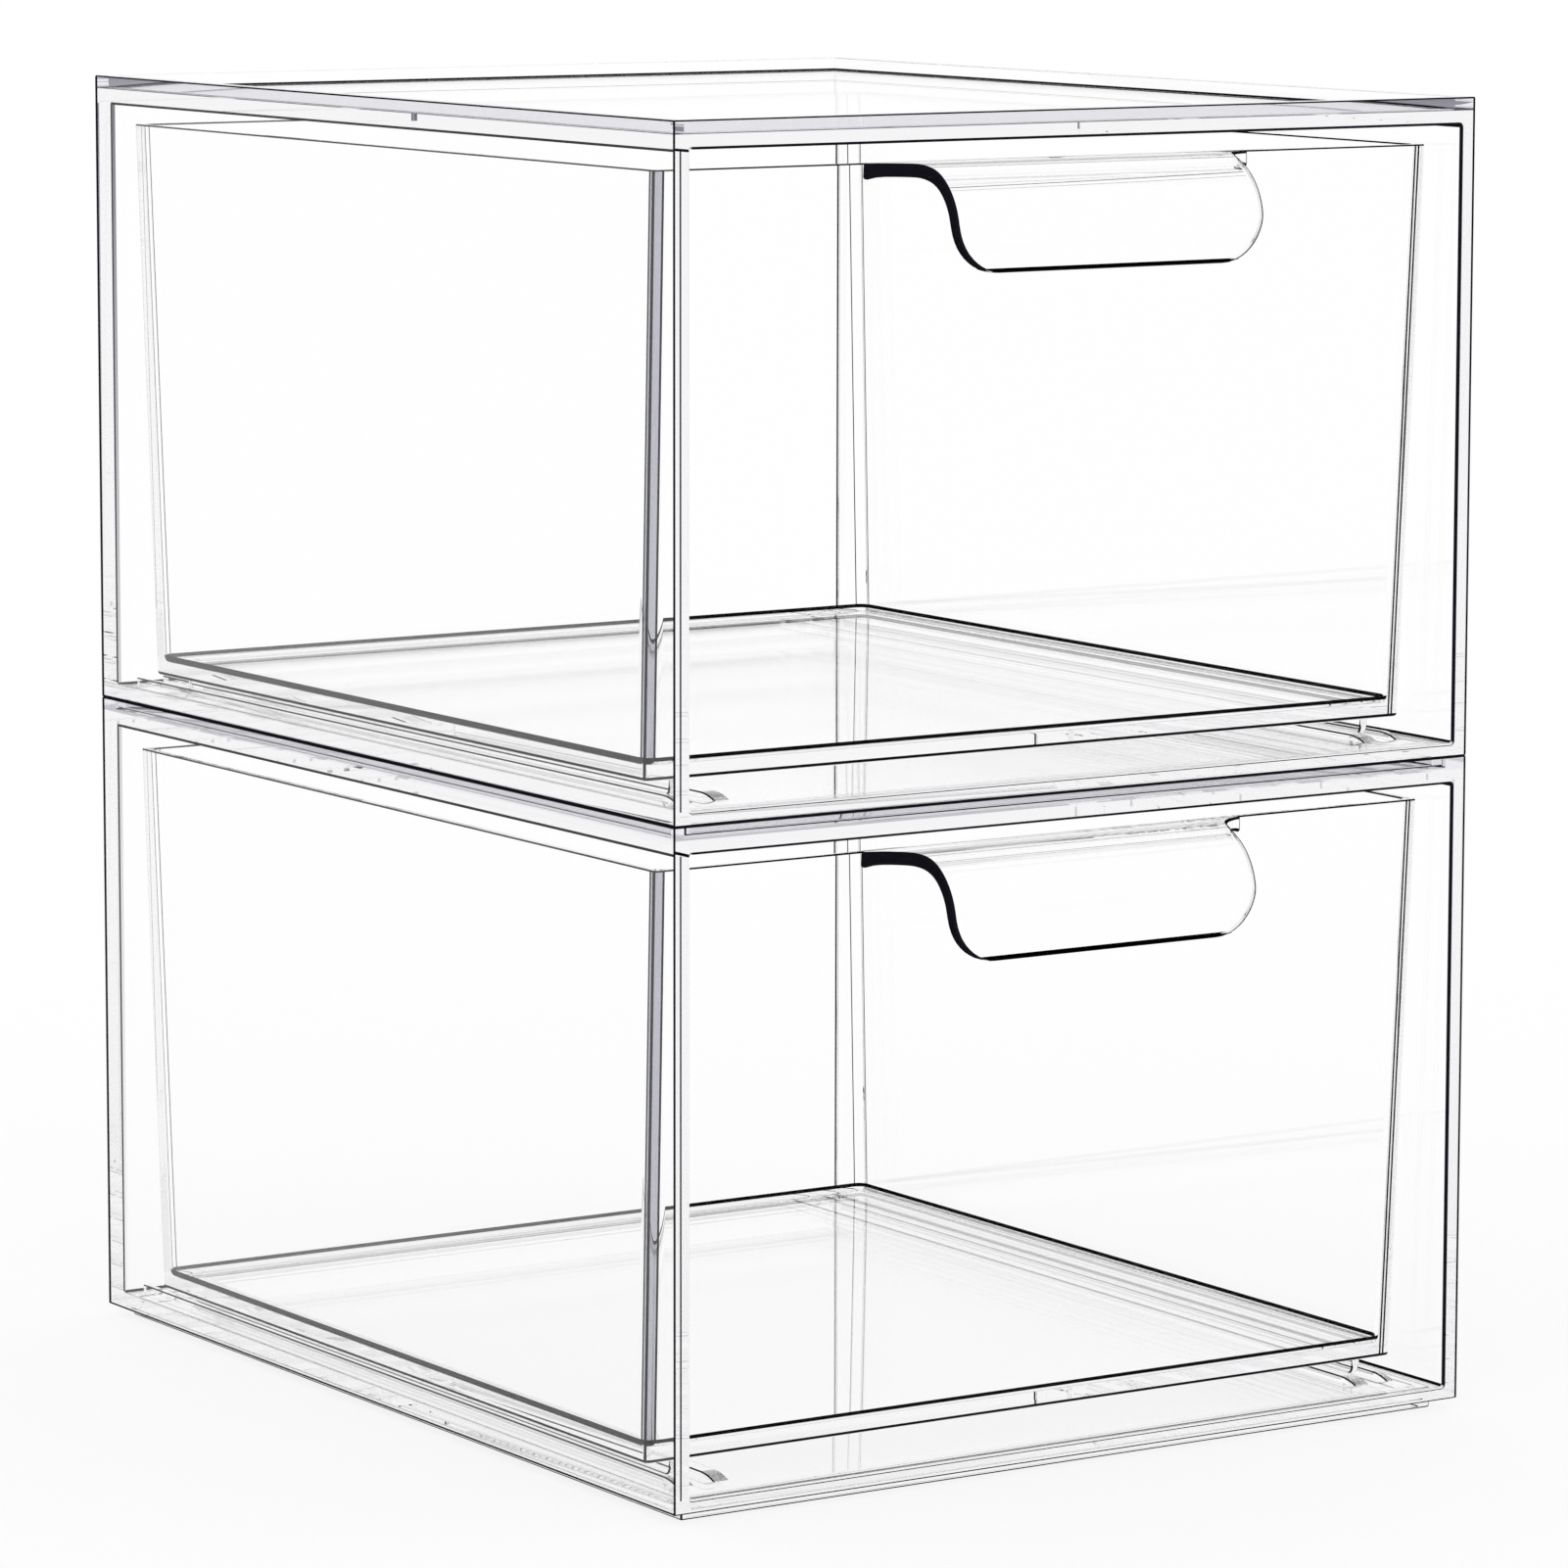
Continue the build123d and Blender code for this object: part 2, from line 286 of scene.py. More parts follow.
class Editing:
    """Edit mode on one piece, with nothing selected to begin with."""

    def __init__(self, piece):
        self.piece = piece

    def __enter__(self):
        choose(self.piece)
        bpy.ops.object.mode_set(mode="EDIT")
        bpy.ops.mesh.select_all(action="DESELECT")
        return self

    def __exit__(self, *_):
        bpy.ops.object.mode_set(mode="OBJECT")

    def mesh(self):
        return bmesh.from_edit_mesh(self.piece.data)

    def select(self, kind, found):
        """Selects the faces or edges that were found, and raises an error if there are none."""
        if not found:
            raise RuntimeError(f"{self.piece.name}: no {kind} is where one was expected")
        for item in found:
            item.select_set(True)
        bmesh.update_edit_mesh(self.piece.data)

    def start(self, kind):
        """Deselects everything and gives the mesh, ready for a choice of faces or edges."""
        bpy.ops.mesh.select_all(action="DESELECT")
        bpy.ops.mesh.select_mode(type=kind)
        work = self.mesh()
        work.normal_update()
        return work

    def faces(self, test):
        """Selects only the faces whose centre and normal pass the test."""
        work = self.start("FACE")
        self.select("face", [face for face in work.faces if test(face.calc_center_median(), face.normal)])

    def edges(self, test, flat=False):
        """Selects only the sharp edges whose two ends pass the test, or the flat ones."""
        found = [edge for edge in self.start("EDGE").edges if test(edge.verts[0].co, edge.verts[1].co)]
        self.select("edge", [edge for edge in found if (edge.calc_face_angle() < SHARP) == flat])

    def convex_edges(self, test):
        """Selects only the sharp outward edges whose two ends pass the test."""
        found = [edge for edge in self.start("EDGE").edges if test(edge.verts[0].co, edge.verts[1].co)]
        self.select("edge", [edge for edge in found if edge.is_convex and edge.calc_face_angle() > SHARP])

    def place(self, test, **axes):
        """Moves the vertices that pass the test to a place along one or more axes."""
        for vert in [v for v in self.mesh().verts if test(v)]:
            for axis, value in axes.items():
                setattr(vert.co, axis, value)
        bmesh.update_edit_mesh(self.piece.data)

    def cut(self, test, point, normal):
        """Cuts the faces that pass the test along a plane."""
        self.faces(test)
        bpy.ops.mesh.bisect(plane_co=point, plane_no=normal)

    def mark(self, slot, test=None):
        """Gives the selected faces, or those whose normal passes the test, to a material slot."""
        for face in [face for face in self.mesh().faces if face.select]:
            if test is None or test(face.normal):
                face.material_index = slot
        bmesh.update_edit_mesh(self.piece.data)


def near(value, target):
    """True if two places along one axis are the same."""
    return abs(value - target) < SAME


def level(a, b, height):
    """True if both ends of an edge lie at one height."""
    return near(a.z, height) and near(b.z, height)


def turned(part, turns):
    """True if a face, whose normal has this part along an axis, turns to it by between two angles."""
    low, high = turns
    return low <= math.degrees(math.asin(max(-1.0, min(1.0, part)))) <= high


def push(x=0.0, y=0.0, z=0.0):
    """Extrudes what is selected and moves it."""
    bpy.ops.mesh.extrude_region_move(TRANSFORM_OT_translate={"value": (x, y, z)})


def round_off(radius, steps, slot):
    """Bevels the selected edges to a radius. The new faces go to a material slot and stay selected."""
    bpy.ops.mesh.bevel(
        offset=radius, segments=steps, profile=0.5, affect="EDGES", clamp_overlap=False, material=slot
    )


def clear_mitres(edit, axis, place):
    """Moves the seams of a flat ring from its corners, which are to be rounded, to its middle."""

    def on_ring(point):
        return near(getattr(point, axis), place)

    def is_diagonal(a, b):
        return sum(not near(p, q) for p, q in zip(a, b)) > 1

    edit.cut(lambda c, n: on_ring(c) and abs(getattr(n, axis)) > ALONG, (0, 0, 0), (1, 0, 0))
    edit.edges(lambda a, b: on_ring(a) and on_ring(b) and is_diagonal(a, b), flat=True)
    bpy.ops.mesh.dissolve_edges(use_verts=False)


def join_solid(piece, other):
    """Joins another closed solid into a piece, so that no inner wall is left, and removes the other."""
    modifier = piece.modifiers.new("join", "BOOLEAN")
    modifier.operation = "UNION"
    modifier.solver = "EXACT"
    modifier.object = other
    choose(piece)
    bpy.ops.object.modifier_apply(modifier=modifier.name)
    bpy.data.objects.remove(other)


def finish_surface(piece):
    """Smooth shading across the roundings, with the broad faces kept flat."""
    choose(piece)
    bpy.ops.object.shade_smooth_by_angle(angle=SMOOTH)
    modifier = piece.modifiers.new("even", "WEIGHTED_NORMAL")
    modifier.keep_sharp = True
    modifier.weight = SHADING_WEIGHT
    bpy.ops.object.modifier_apply(modifier=modifier.name)


def settings():
    """The settings of the stack in this scene."""
    return bpy.context.scene.clear_drawers


# Plastics

MIX_FACTOR, MIX_A, MIX_B, MIX_RESULT = 0, 6, 7, 2  # a colour Mix node's sockets
FULL_SPECULAR = 0.5  # the shader's level at which a face reflects as much as its index says


def add(tree, kind, inputs=None, links=None, **properties):
    """One node with its properties, its unlinked inputs and its links, as input name to value or output."""
    node = tree.nodes.new(kind)
    for name, value in properties.items():
        setattr(node, name, value)
    for name, value in (inputs or {}).items():
        node.inputs[name].default_value = value
    for name, output in (links or {}).items():
        tree.links.new(output, node.inputs[name])
    return node


def clear_plastic(name, body, clearness=1.0, painted_shade_side=None):
    """Polished injection moulded acrylic: clear, or dark seen from outside, from inside or from both.

    The dark side is painted shade, standing for a rounded edge that gathers all that is dark round it.
    Light that runs along the inside of a wall turns lilac grey.
    """
    found = bpy.data.materials.get(name)
    if found:
        return found
    s = settings().plastic
    material = bpy.data.materials.new(name)
    material.use_nodes = True
    tree = material.node_tree
    shader = tree.nodes["Principled BSDF"]
    shader.inputs["Base Color"].default_value = (*body, 1)
    shader.inputs["Roughness"].default_value = s.roughness
    shader.inputs["IOR"].default_value = s.ior
    shader.inputs["Transmission Weight"].default_value = clearness
    shader.inputs["Specular IOR Level"].default_value = clearness * FULL_SPECULAR
    shader.inputs["Specular Tint"].default_value = (*s.reflection, 1)
    # Painted shade: the dark colour shows from one side of the face only, and the face is clear from the
    # other
    if painted_shade_side in ("outside", "inside"):
        clear = add(tree, "ShaderNodeNewGeometry").outputs["Backfacing"]
        if painted_shade_side == "inside":
            clear = add(tree, "ShaderNodeMath", {0: 1.0}, {1: clear}, operation="SUBTRACT").outputs[0]
        colours = {MIX_A: (*body, 1), MIX_B: (*s.body, 1)}
        colour = add(tree, "ShaderNodeMix", colours, {MIX_FACTOR: clear}, data_type="RGBA")
        tree.links.new(colour.outputs[MIX_RESULT], shader.inputs["Base Color"])
        tree.links.new(clear, shader.inputs["Transmission Weight"])
    depth = add(tree, "ShaderNodeVolumeAbsorption", {"Color": (*s.depth, 1), "Density": s.density})
    tree.links.new(depth.outputs["Volume"], tree.nodes["Material Output"].inputs["Volume"])
    return material


def plastics():
    """The plastics in the order of the material slots."""
    s = settings().plastic
    return [
        # A wall: next to no colour, so that it shows only by its edges
        clear_plastic("clear_acrylic_body", s.body),
        # A rounded edge painted as a black line of shade from either side
        clear_plastic("clear_acrylic_painted_edge_shade", s.edge, s.edge_clearness, "both"),
        # A rounded edge painted as a black line of shade from the air, and that light inside the wall
        # passes
        clear_plastic("clear_acrylic_painted_outline_shade", s.edge, s.edge_clearness, "outside"),
        # A rounded edge painted as a black line of shade only through the wall behind it
        clear_plastic("clear_acrylic_painted_inline_shade", s.edge, s.edge_clearness, "inside"),
        # The stacking rim: a painted reflection, a pale lilac band round the top
        clear_plastic("clear_acrylic_painted_rim_reflection", s.band),
        # A thick rounded corner: painted shade, a lilac grey bar between its two painted lines
        clear_plastic("clear_acrylic_painted_corner_shade", s.corner),
    ]


# Cases


def case_places(node):
    """Where the parts of one case lie, from the frame's box of its node and the case's settings."""
    s = settings().case
    low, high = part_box(node)
    at = SimpleNamespace(half=high.x, front=low.y, back=high.y, foot=low.z, rim=high.z)
    at.bottom = at.foot + s.skirt_drop
    at.floor = at.bottom + s.floor
    at.panel = at.rim - s.rim_height
    at.ceiling = at.panel - s.top
    at.inner = at.half - s.wall
    at.inner_back = at.back - s.wall
    return at


def hollow_case(edit, at):
    """Forms the recess in the case's top, the skirt under it and the cavity behind its open front."""
    s = settings().case
    middle = (at.bottom + at.rim) / 2
    edit.faces(lambda c, n: n.z > ALONG)
    bpy.ops.mesh.inset(thickness=s.wall)
    push(z=-s.rim_height)
    edit.faces(lambda c, n: n.z < -ALONG)
    bpy.ops.mesh.inset(thickness=s.wall + s.skirt_clearance)
    push(z=-s.skirt_drop)
    bpy.ops.mesh.inset(thickness=s.skirt_width)
    push(z=s.skirt_drop)
    edit.faces(lambda c, n: n.y < -ALONG and near(c.y, at.front))
    bpy.ops.mesh.inset(thickness=s.wall)
    edit.place(lambda v: v.select and v.co.z < middle, z=at.floor)
    edit.place(lambda v: v.select and v.co.z > middle, z=at.ceiling)
    push(y=at.inner_back - at.front)
    for axis, place in (("z", at.rim), ("z", at.bottom), ("z", at.foot), ("y", at.front)):
        clear_mitres(edit, axis, place)


def round_case(edit, at):
    """Rounds the edges of the case, and paints dark lines of shade on those that show as lines."""
    s = settings().case
    edge = settings().plastic.edge_radius
    tall = (at.ceiling - at.floor) / 2

    def back_upright(a, b):
        return inside_cavity(a, at) and near(a.y, at.inner_back) and abs(a.z - b.z) > tall

    def cavity_edge(a, b):
        return in_cavity_corner(a, at) and in_cavity_corner(b, at) and not near_front(a, b, at)

    def root(a, b):
        return inset_corner(a, at) and inset_corner(b, at) and near(a.z, b.z) and not near(a.z, at.rim)

    def mouth(a, b):
        return max(abs(a.x), abs(b.x)) < at.half - MM and near_front(a, b, at) and a.z > at.floor - MM

    edit.edges(back_upright)
    round_off(s.back_radius, BEND_FACES, CLEAR_SLOT)
    edit.mark(PAINTED_INLINE_SHADE_SLOT, lambda n: n.x > ASKEW)
    edit.mark(PAINTED_EDGE_SHADE_SLOT, lambda n: turned(n.x, BACK_UPRIGHT_DARK))
    edit.mark(PAINTED_OUTLINE_SHADE_SLOT, lambda n: turned(-n.x, BACK_UPRIGHT_FINE))
    edit.edges(cavity_edge)
    round_off(s.inner_radius, EDGE_FACES, PAINTED_OUTLINE_SHADE_SLOT)
    edit.mark(PAINTED_EDGE_SHADE_SLOT, lambda n: n.z < -ASKEW and n.x > ASKEW)
    edit.edges(root)
    round_off(s.root_radius, SMALL_FACES, PAINTED_OUTLINE_SHADE_SLOT)
    edit.convex_edges(lambda a, b: level(a, b, at.rim) and inset_corner(a, at))
    round_off(edge, EDGE_FACES, CLEAR_SLOT)
    edit.convex_edges(mouth)
    round_off(s.mouth_radius, MOUTH_FACES, PAINTED_OUTLINE_SHADE_SLOT)
    edit.mark(CLEAR_SLOT, lambda n: turned(n.z, MOUTH_FLOOR_CLEAR) or n.x > ASKEW)
    edit.convex_edges(lambda a, b: True)
    round_off(edge, EDGE_FACES, PAINTED_OUTLINE_SHADE_SLOT)


def line_case(edit, at):
    """Cuts the band of painted reflection on the rim and the narrow lines of painted shade into the case's
    flat faces.
    """
    s = settings().case
    bottom = at.bottom + s.bottom_line
    back = at.back - s.back_line
    right = at.half - s.front_line
    left = (s.second_line - at.half, s.second_line + s.second_width - at.half)

    def wall(c, n):
        return outside(c, at) and abs(n.z) < ASKEW

    def side(c, n):
        return near(abs(c.x), at.half)

    def front(c, n):
        return near(c.y, at.front) and n.y < -ALONG

    def left_line(c, n):
        return near(c.y, at.front) and near(c.x, sum(left) / 2) and near(c.z, (at.floor + at.ceiling) / 2)

    edit.cut(wall, (0, 0, at.panel), (0, 0, 1))
    edit.faces(lambda c, n: wall(c, n) and c.z > at.panel)
    edit.mark(PAINTED_RIM_REFLECTION_SLOT, lambda n: min(n.x, n.y) < -SQUARE)
    edit.cut(wall, (0, 0, bottom), (0, 0, 1))
    edit.faces(lambda c, n: wall(c, n) and c.z < bottom)
    edit.mark(PAINTED_OUTLINE_SHADE_SLOT, lambda n: abs(n.x) > SQUARE)
    edit.cut(side, (0, back, 0), (0, 1, 0))
    edit.faces(lambda c, n: side(c, n) and c.y > back)
    edit.mark(PAINTED_OUTLINE_SHADE_SLOT)
    edit.cut(front, (right, 0, 0), (1, 0, 0))
    edit.faces(lambda c, n: front(c, n) and c.x > right)
    edit.mark(PAINTED_OUTLINE_SHADE_SLOT)
    for place in left:
        edit.cut(front, (place, 0, 0), (1, 0, 0))
    for place in (at.floor, at.ceiling):
        edit.cut(front, (0, 0, place), (0, 0, 1))
    edit.faces(left_line)
    edit.mark(PAINTED_OUTLINE_SHADE_SLOT)


def case_shell(name, at):
    """The case without its guide ribs: open at the front, with a recess in its top and a skirt under it."""
    case = start_box(name, (-at.half, at.front, at.bottom), (at.half, at.back, at.rim))
    with Editing(case) as edit:
        hollow_case(edit, at)
        round_case(edit, at)
        line_case(edit, at)
    return case


def outside(point, at):
    """True for a point of the case's four outer sides."""
    return near(abs(point.x), at.half) or near(point.y, at.front) or near(point.y, at.back)


def inset_corner(point, at):
    """True for a corner of the recess floor, of the rim's inside, or of the skirt's root."""
    flat = near(point.z, at.panel) or near(point.z, at.bottom) or near(point.z, at.rim)
    return flat and abs(point.x) < at.inner + SLACK and at.front + MM < point.y < at.back - MM


def inside_cavity(point, at):
    """True for a corner of the case's cavity."""
    flat = near(point.z, at.floor) or near(point.z, at.ceiling)
    return near(abs(point.x), at.inner) and flat and point.y < at.back - MM


def in_cavity_corner(point, at):
    """True for a corner of the cavity whose back uprights are already rounded."""
    flat = near(point.z, at.floor) or near(point.z, at.ceiling)
    return flat and abs(point.x) < at.inner + SLACK and point.y < at.inner_back + SLACK


def near_front(a, b, at):
    """True for an edge of the case's mouth."""
    return near(a.y, at.front) and near(b.y, at.front)


def guide_rib(name, middle, width, at):
    """One guide rib on the case's floor, whose front end falls away in an arc."""
    s = settings().case
    sunk = s.floor / 4
    crest = at.front + s.guide_inset + s.guide_nose
    low = (middle - width / 2, crest, at.floor - sunk)
    high = (middle + width / 2, at.inner_back + sunk, at.floor + s.guide_height)
    rib = start_box(name, low, high)
    radius = (s.guide_nose**2 + s.guide_height**2) / (2 * s.guide_height)
    stride = s.guide_nose / s.guide_nose_steps
    lowest = at.floor - sunk / 2
    with Editing(rib) as edit:
        edit.faces(lambda c, n: n.y < -ALONG)
        for step in range(1, s.guide_nose_steps + 2):
            height = at.floor + s.guide_height - radius + math.sqrt(radius**2 - (step * stride) ** 2)
            push(y=-stride)
            edit.place(lambda v: v.select and v.co.z > lowest, z=max(height, lowest + SAME / 2))
        edit.convex_edges(lambda a, b: min(a.z, b.z) > at.floor - sunk / 3)
        # Painted shade: the rib's rounded edges get the dark outline
        round_off(s.guide_edge_radius, SMALL_FACES, PAINTED_OUTLINE_SHADE_SLOT)
    return rib


def make_case(unit):
    """One case, in one moulding with its guide ribs, standing for its node."""
    s = settings().case
    node = f"{unit}_case"
    at = case_places(node)
    case = case_shell(f"{node}_moulding", at)
    channel = settings().drawer.runner_width / 2 + s.guide_clearance
    runner_place = runner_middle(f"{unit}_drawer")
    for side in (-1, 1):
        inner = side * (runner_place - channel - s.inner_guide_width / 2)
        outer = side * (runner_place + channel + s.outer_guide_width / 2)
        join_solid(case, guide_rib("inner_guide", inner, s.inner_guide_width, at))
        join_solid(case, guide_rib("outer_guide", outer, s.outer_guide_width, at))
    finish_surface(case)
    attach(case, node)
    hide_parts(node)


# Drawers


def drawer_places(node):
    """Where the parts of one drawer lie, from the frame's box of its node and the settings."""
    s, lip = settings().drawer, settings().lip
    low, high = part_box(node)
    at = SimpleNamespace(half=high.x, back=high.y, foot=low.z, top=high.z, face=low.y)
    at.front = at.face + lip.bend_radius + lip.flat
    at.bottom = at.foot + s.runner_height
    at.floor = at.bottom + s.floor
    return at


def wall_places(at, z, inset):
    """Half the width, the front and the back of the leaning walls at height z, drawn in by inset."""
    s = settings().drawer
    lean = (at.top - z) / (at.top - at.bottom)
    half = at.half - s.side_draft * lean - inset
    front = at.front + s.front_lean * lean + inset
    back = at.back - s.back_lean * lean - inset
    return half, front, back


def runner_middle(node):
    """Distance from the middle of the drawer to the middle of a runner."""
    s = settings().drawer
    return drawer_places(node).half - s.side_draft - s.runner_inset


def set_level(edit, at, z, inset, test):
    """Moves the tested corners of the tub to the place of its leaning walls at height z."""
    half, front, back = wall_places(at, z, inset)
    middle = (at.front + at.back) / 2
    edit.place(lambda v: test(v) and v.co.x < 0, x=-half)
    edit.place(lambda v: test(v) and v.co.x > 0, x=half)
    edit.place(lambda v: test(v) and v.co.y < middle, y=front)
    edit.place(lambda v: test(v) and v.co.y > middle, y=back)


def hollow_tub(edit, at):
    """Leans the tub's walls in towards the bottom and opens it from above."""
    s = settings().drawer
    set_level(edit, at, at.bottom, 0, lambda v: near(v.co.z, at.bottom))
    edit.faces(lambda c, n: n.z > ALONG)
    bpy.ops.mesh.inset(thickness=s.wall)
    push(z=at.floor - at.top)
    set_level(edit, at, at.floor, s.wall, lambda v: v.select)
    clear_mitres(edit, "z", at.top)


def round_tub(edit, at):
    """Rounds the edges of the tub, and paints shade, dark lines and a lilac grey tint, on those that show.
    """
    s = settings().drawer
    tall = (at.top - at.bottom) / 2
    split = at.half - s.wall / 2

    def upright(a, b, outer):
        top = max(a, b, key=lambda p: p.z)
        return abs(a.z - b.z) > tall and (abs(top.x) > split) == outer

    edit.edges(lambda a, b: upright(a, b, outer=False))
    round_off(s.inner_radius, CORNER_FACES, CLEAR_SLOT)
    edit.mark(PAINTED_INLINE_SHADE_SLOT, lambda n: n.y > 0 and turned(n.x, NEAR_CORNER_DARK))
    edit.mark(PAINTED_CORNER_SHADE_SLOT, lambda n: n.y > 0 and turned(n.x, NEAR_CORNER_PAINTED_SHADE))
    edit.mark(PAINTED_EDGE_SHADE_SLOT, lambda n: n.y < 0 and any(turned(abs(n.x), turns) for turns in FAR_CORNER_DARK))
    edit.edges(lambda a, b: upright(a, b, outer=True))
    round_off(s.corner_radius, BEND_FACES, CLEAR_SLOT)
    edit.mark(PAINTED_OUTLINE_SHADE_SLOT, lambda n: n.y < 0 and turned(-n.x, NEAR_EDGE_DARK))
    edit.edges(lambda a, b: level(a, b, at.floor))
    round_off(s.floor_radius, BEND_FACES, CLEAR_SLOT)
    edit.mark(PAINTED_OUTLINE_SHADE_SLOT, lambda n: turned(abs(n.z), FLOOR_LINE))
    edit.mark(PAINTED_EDGE_SHADE_SLOT, lambda n: turned(abs(n.z), FLOOR_LINE) and n.y > FLOOR_LINE_BACKWARD)
    edit.mark(PAINTED_EDGE_SHADE_SLOT, lambda n: turned(abs(n.z), FLOOR_LINE_LEFT) and n.x > FLOOR_LINE_RIGHTWARD)
    edit.edges(lambda a, b: level(a, b, at.bottom))
    round_off(s.bottom_radius, EDGE_FACES, CLEAR_SLOT)
    edit.mark(PAINTED_OUTLINE_SHADE_SLOT, lambda n: turned(abs(n.z), BOTTOM_LINE))
    edit.convex_edges(lambda a, b: level(a, b, at.top))
    round_off(settings().plastic.edge_radius, EDGE_FACES, PAINTED_OUTLINE_SHADE_SLOT)


def line_tub(edit, at):
    """Cuts the two painted dark lines of shade beside the right edge of the tub's front, along its lean."""
    s = settings().drawer
    middle = (at.front + at.back) / 2
    tilt = s.side_draft / (at.top - at.bottom)

    def front(c, n):
        return n.y < -LEANING and c.y < middle

    def from_edge(c):
        return at.half - (at.top - c.z) * tilt - c.x

    for line in (s.first_line, s.second_line):
        for inset in (line, line + s.line_width):
            edit.cut(front, (at.half - inset, 0, at.top), (1, 0, -tilt))
        edit.faces(lambda c, n: front(c, n) and near(from_edge(c), line + s.line_width / 2))
        edit.mark(PAINTED_OUTLINE_SHADE_SLOT)


def tub(name, at):
    """The drawer's tapered tub with an open top, without its runners and its lip."""
    piece = start_box(name, (-at.half, at.front, at.bottom), (at.half, at.back, at.top))
    with Editing(piece) as edit:
        hollow_tub(edit, at)
        round_tub(edit, at)
        line_tub(edit, at)
    return piece


def runner(name, middle, at):
    """One runner under the drawer, with rounded ends."""
    s = settings().drawer
    _, front, back = wall_places(at, at.bottom, s.runner_end)
    low = (middle - s.runner_width / 2, front, at.foot)
    high = (middle + s.runner_width / 2, back, at.bottom + s.floor / 2)
    piece = start_box(name, low, high)
    with Editing(piece) as edit:
        edit.edges(lambda a, b: level(a, b, at.foot) and near(a.y, b.y))
        round_off(s.runner_height / 2, BEND_FACES, CLEAR_SLOT)
        edit.convex_edges(lambda a, b: max(a.z, b.z) < at.bottom - SLACK)
        # Painted shade: the runner's rounded edges get the dark outline
        round_off(settings().plastic.edge_radius, SMALL_FACES, PAINTED_OUTLINE_SHADE_SLOT)
    return piece


def lip_half_width(at, y, z):
    """Half the lip's width at a point of its side view, from its plan and its front view."""
    s = settings().lip
    flare = min(max(y - (at.front - s.flare_radius), 0), s.flare_radius)
    plan = s.half_width + s.flare_radius - math.sqrt(s.flare_radius**2 - flare**2)
    rise = at.top - s.drop + s.corner_radius - z
    if rise <= 0:
        return plan
    return s.half_width - s.corner_radius + math.sqrt(max(s.corner_radius**2 - rise**2, 0))


def lip_stations(at):
    """Pairs of points of the lip's side view, upper face and lower face, from its root to its tip."""
    s = settings().lip
    steps = settings().studio.arc_steps
    crest = at.top - FLUSH_STEP
    under = at.top - s.thickness
    bend = at.front - s.flat
    pairs = []
    for turn in LIP_ROOT_TURNS:
        y = at.front - s.flare_radius * (1 - math.cos(math.radians(turn)))
        into = max(y - (at.front - s.root_radius), 0)
        fillet = s.root_radius - math.sqrt(s.root_radius**2 - into**2)
        pairs.append(((y, crest), (y, under - fillet)))
    outer, inner = s.bend_radius, s.bend_radius - s.thickness
    centre = crest - s.bend_radius
    for step in range(steps + 1):
        turn = QUARTER * step / steps
        upper = (bend - outer * math.sin(turn), centre + outer * math.cos(turn))
        lower = (bend - inner * math.sin(turn), centre + inner * math.cos(turn))
        pairs.append((upper, lower))
    shoulder = at.top - s.drop + s.corner_radius
    first = math.asin(min(1, max(0, shoulder - (at.top - s.bend_radius)) / s.corner_radius))
    for step in range(1, steps // 2 + 1):
        turn = first + (QUARTER - first) * step / (steps // 2)
        z = shoulder - s.corner_radius * math.sin(turn)
        pairs.append(((at.face, z), (at.face + s.thickness, z)))
    return pairs


def handle_lip(name, at):
    """The curled handle lip, drawn out station by station from a root inside the drawer's front wall."""
    s = settings().lip
    stations = lip_stations(at)
    (first_y, crest), (_, first_low) = stations[0]
    shoulder = at.top - s.drop + s.corner_radius
    anchor = at.front + settings().drawer.wall / 2
    wide = lip_half_width(at, first_y, crest)
    piece = start_box(name, (-wide, first_y, first_low), (wide, anchor, crest))
    upper, lower = Vector((first_y, crest)), Vector((first_y, first_low))

    def near_side_or_tip(c, n):
        return turned(-n.x, LIP_SIDE_DARK) or (turned(-n.z, LIP_SIDE_DARK) and c.z < shoulder)

    with Editing(piece) as edit:
        edit.faces(lambda c, n: n.y < -ALONG)
        for (y_up, z_up), (y_low, z_low) in stations[1:]:
            push()
            for vert in [v for v in edit.mesh().verts if v.select]:
                here = Vector((vert.co.y, vert.co.z))
                above = (here - upper).length < (here - lower).length
                y, z = (y_up, z_up) if above else (y_low, z_low)
                vert.co = (math.copysign(lip_half_width(at, y, z), vert.co.x), y, z)
            bmesh.update_edit_mesh(piece.data)
            upper, lower = Vector((y_up, z_up)), Vector((y_low, z_low))
        edit.convex_edges(lambda a, b: min(a.y, b.y) < at.front - SLACK)
        # Painted shade: the lip's rounded edges, its near side and its tip get dark lines
        round_off(s.edge_radius, EDGE_FACES, PAINTED_OUTLINE_SHADE_SLOT)
        edit.mark(PAINTED_EDGE_SHADE_SLOT, lambda n: n.y < -ASKEW and n.z < ASKEW)
        edit.faces(near_side_or_tip)
        edit.mark(PAINTED_OUTLINE_SHADE_SLOT, lambda n: n.x < LIP_RIGHTWARD)
        edit.mark(PAINTED_EDGE_SHADE_SLOT, lambda n: turned(-n.z, LIP_UNDER_DARK))
    return piece


def make_drawer(unit):
    """One drawer, in one moulding with its runners and its handle lip, standing for its node."""
    node = f"{unit}_drawer"
    at = drawer_places(node)
    drawer = tub(f"{node}_moulding", at)
    join_solid(drawer, handle_lip("handle_lip", at))
    for side in (-1, 1):
        join_solid(drawer, runner("runner", side * runner_middle(node), at))
    finish_surface(drawer)
    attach(drawer, node)
    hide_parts(node)


# Studio


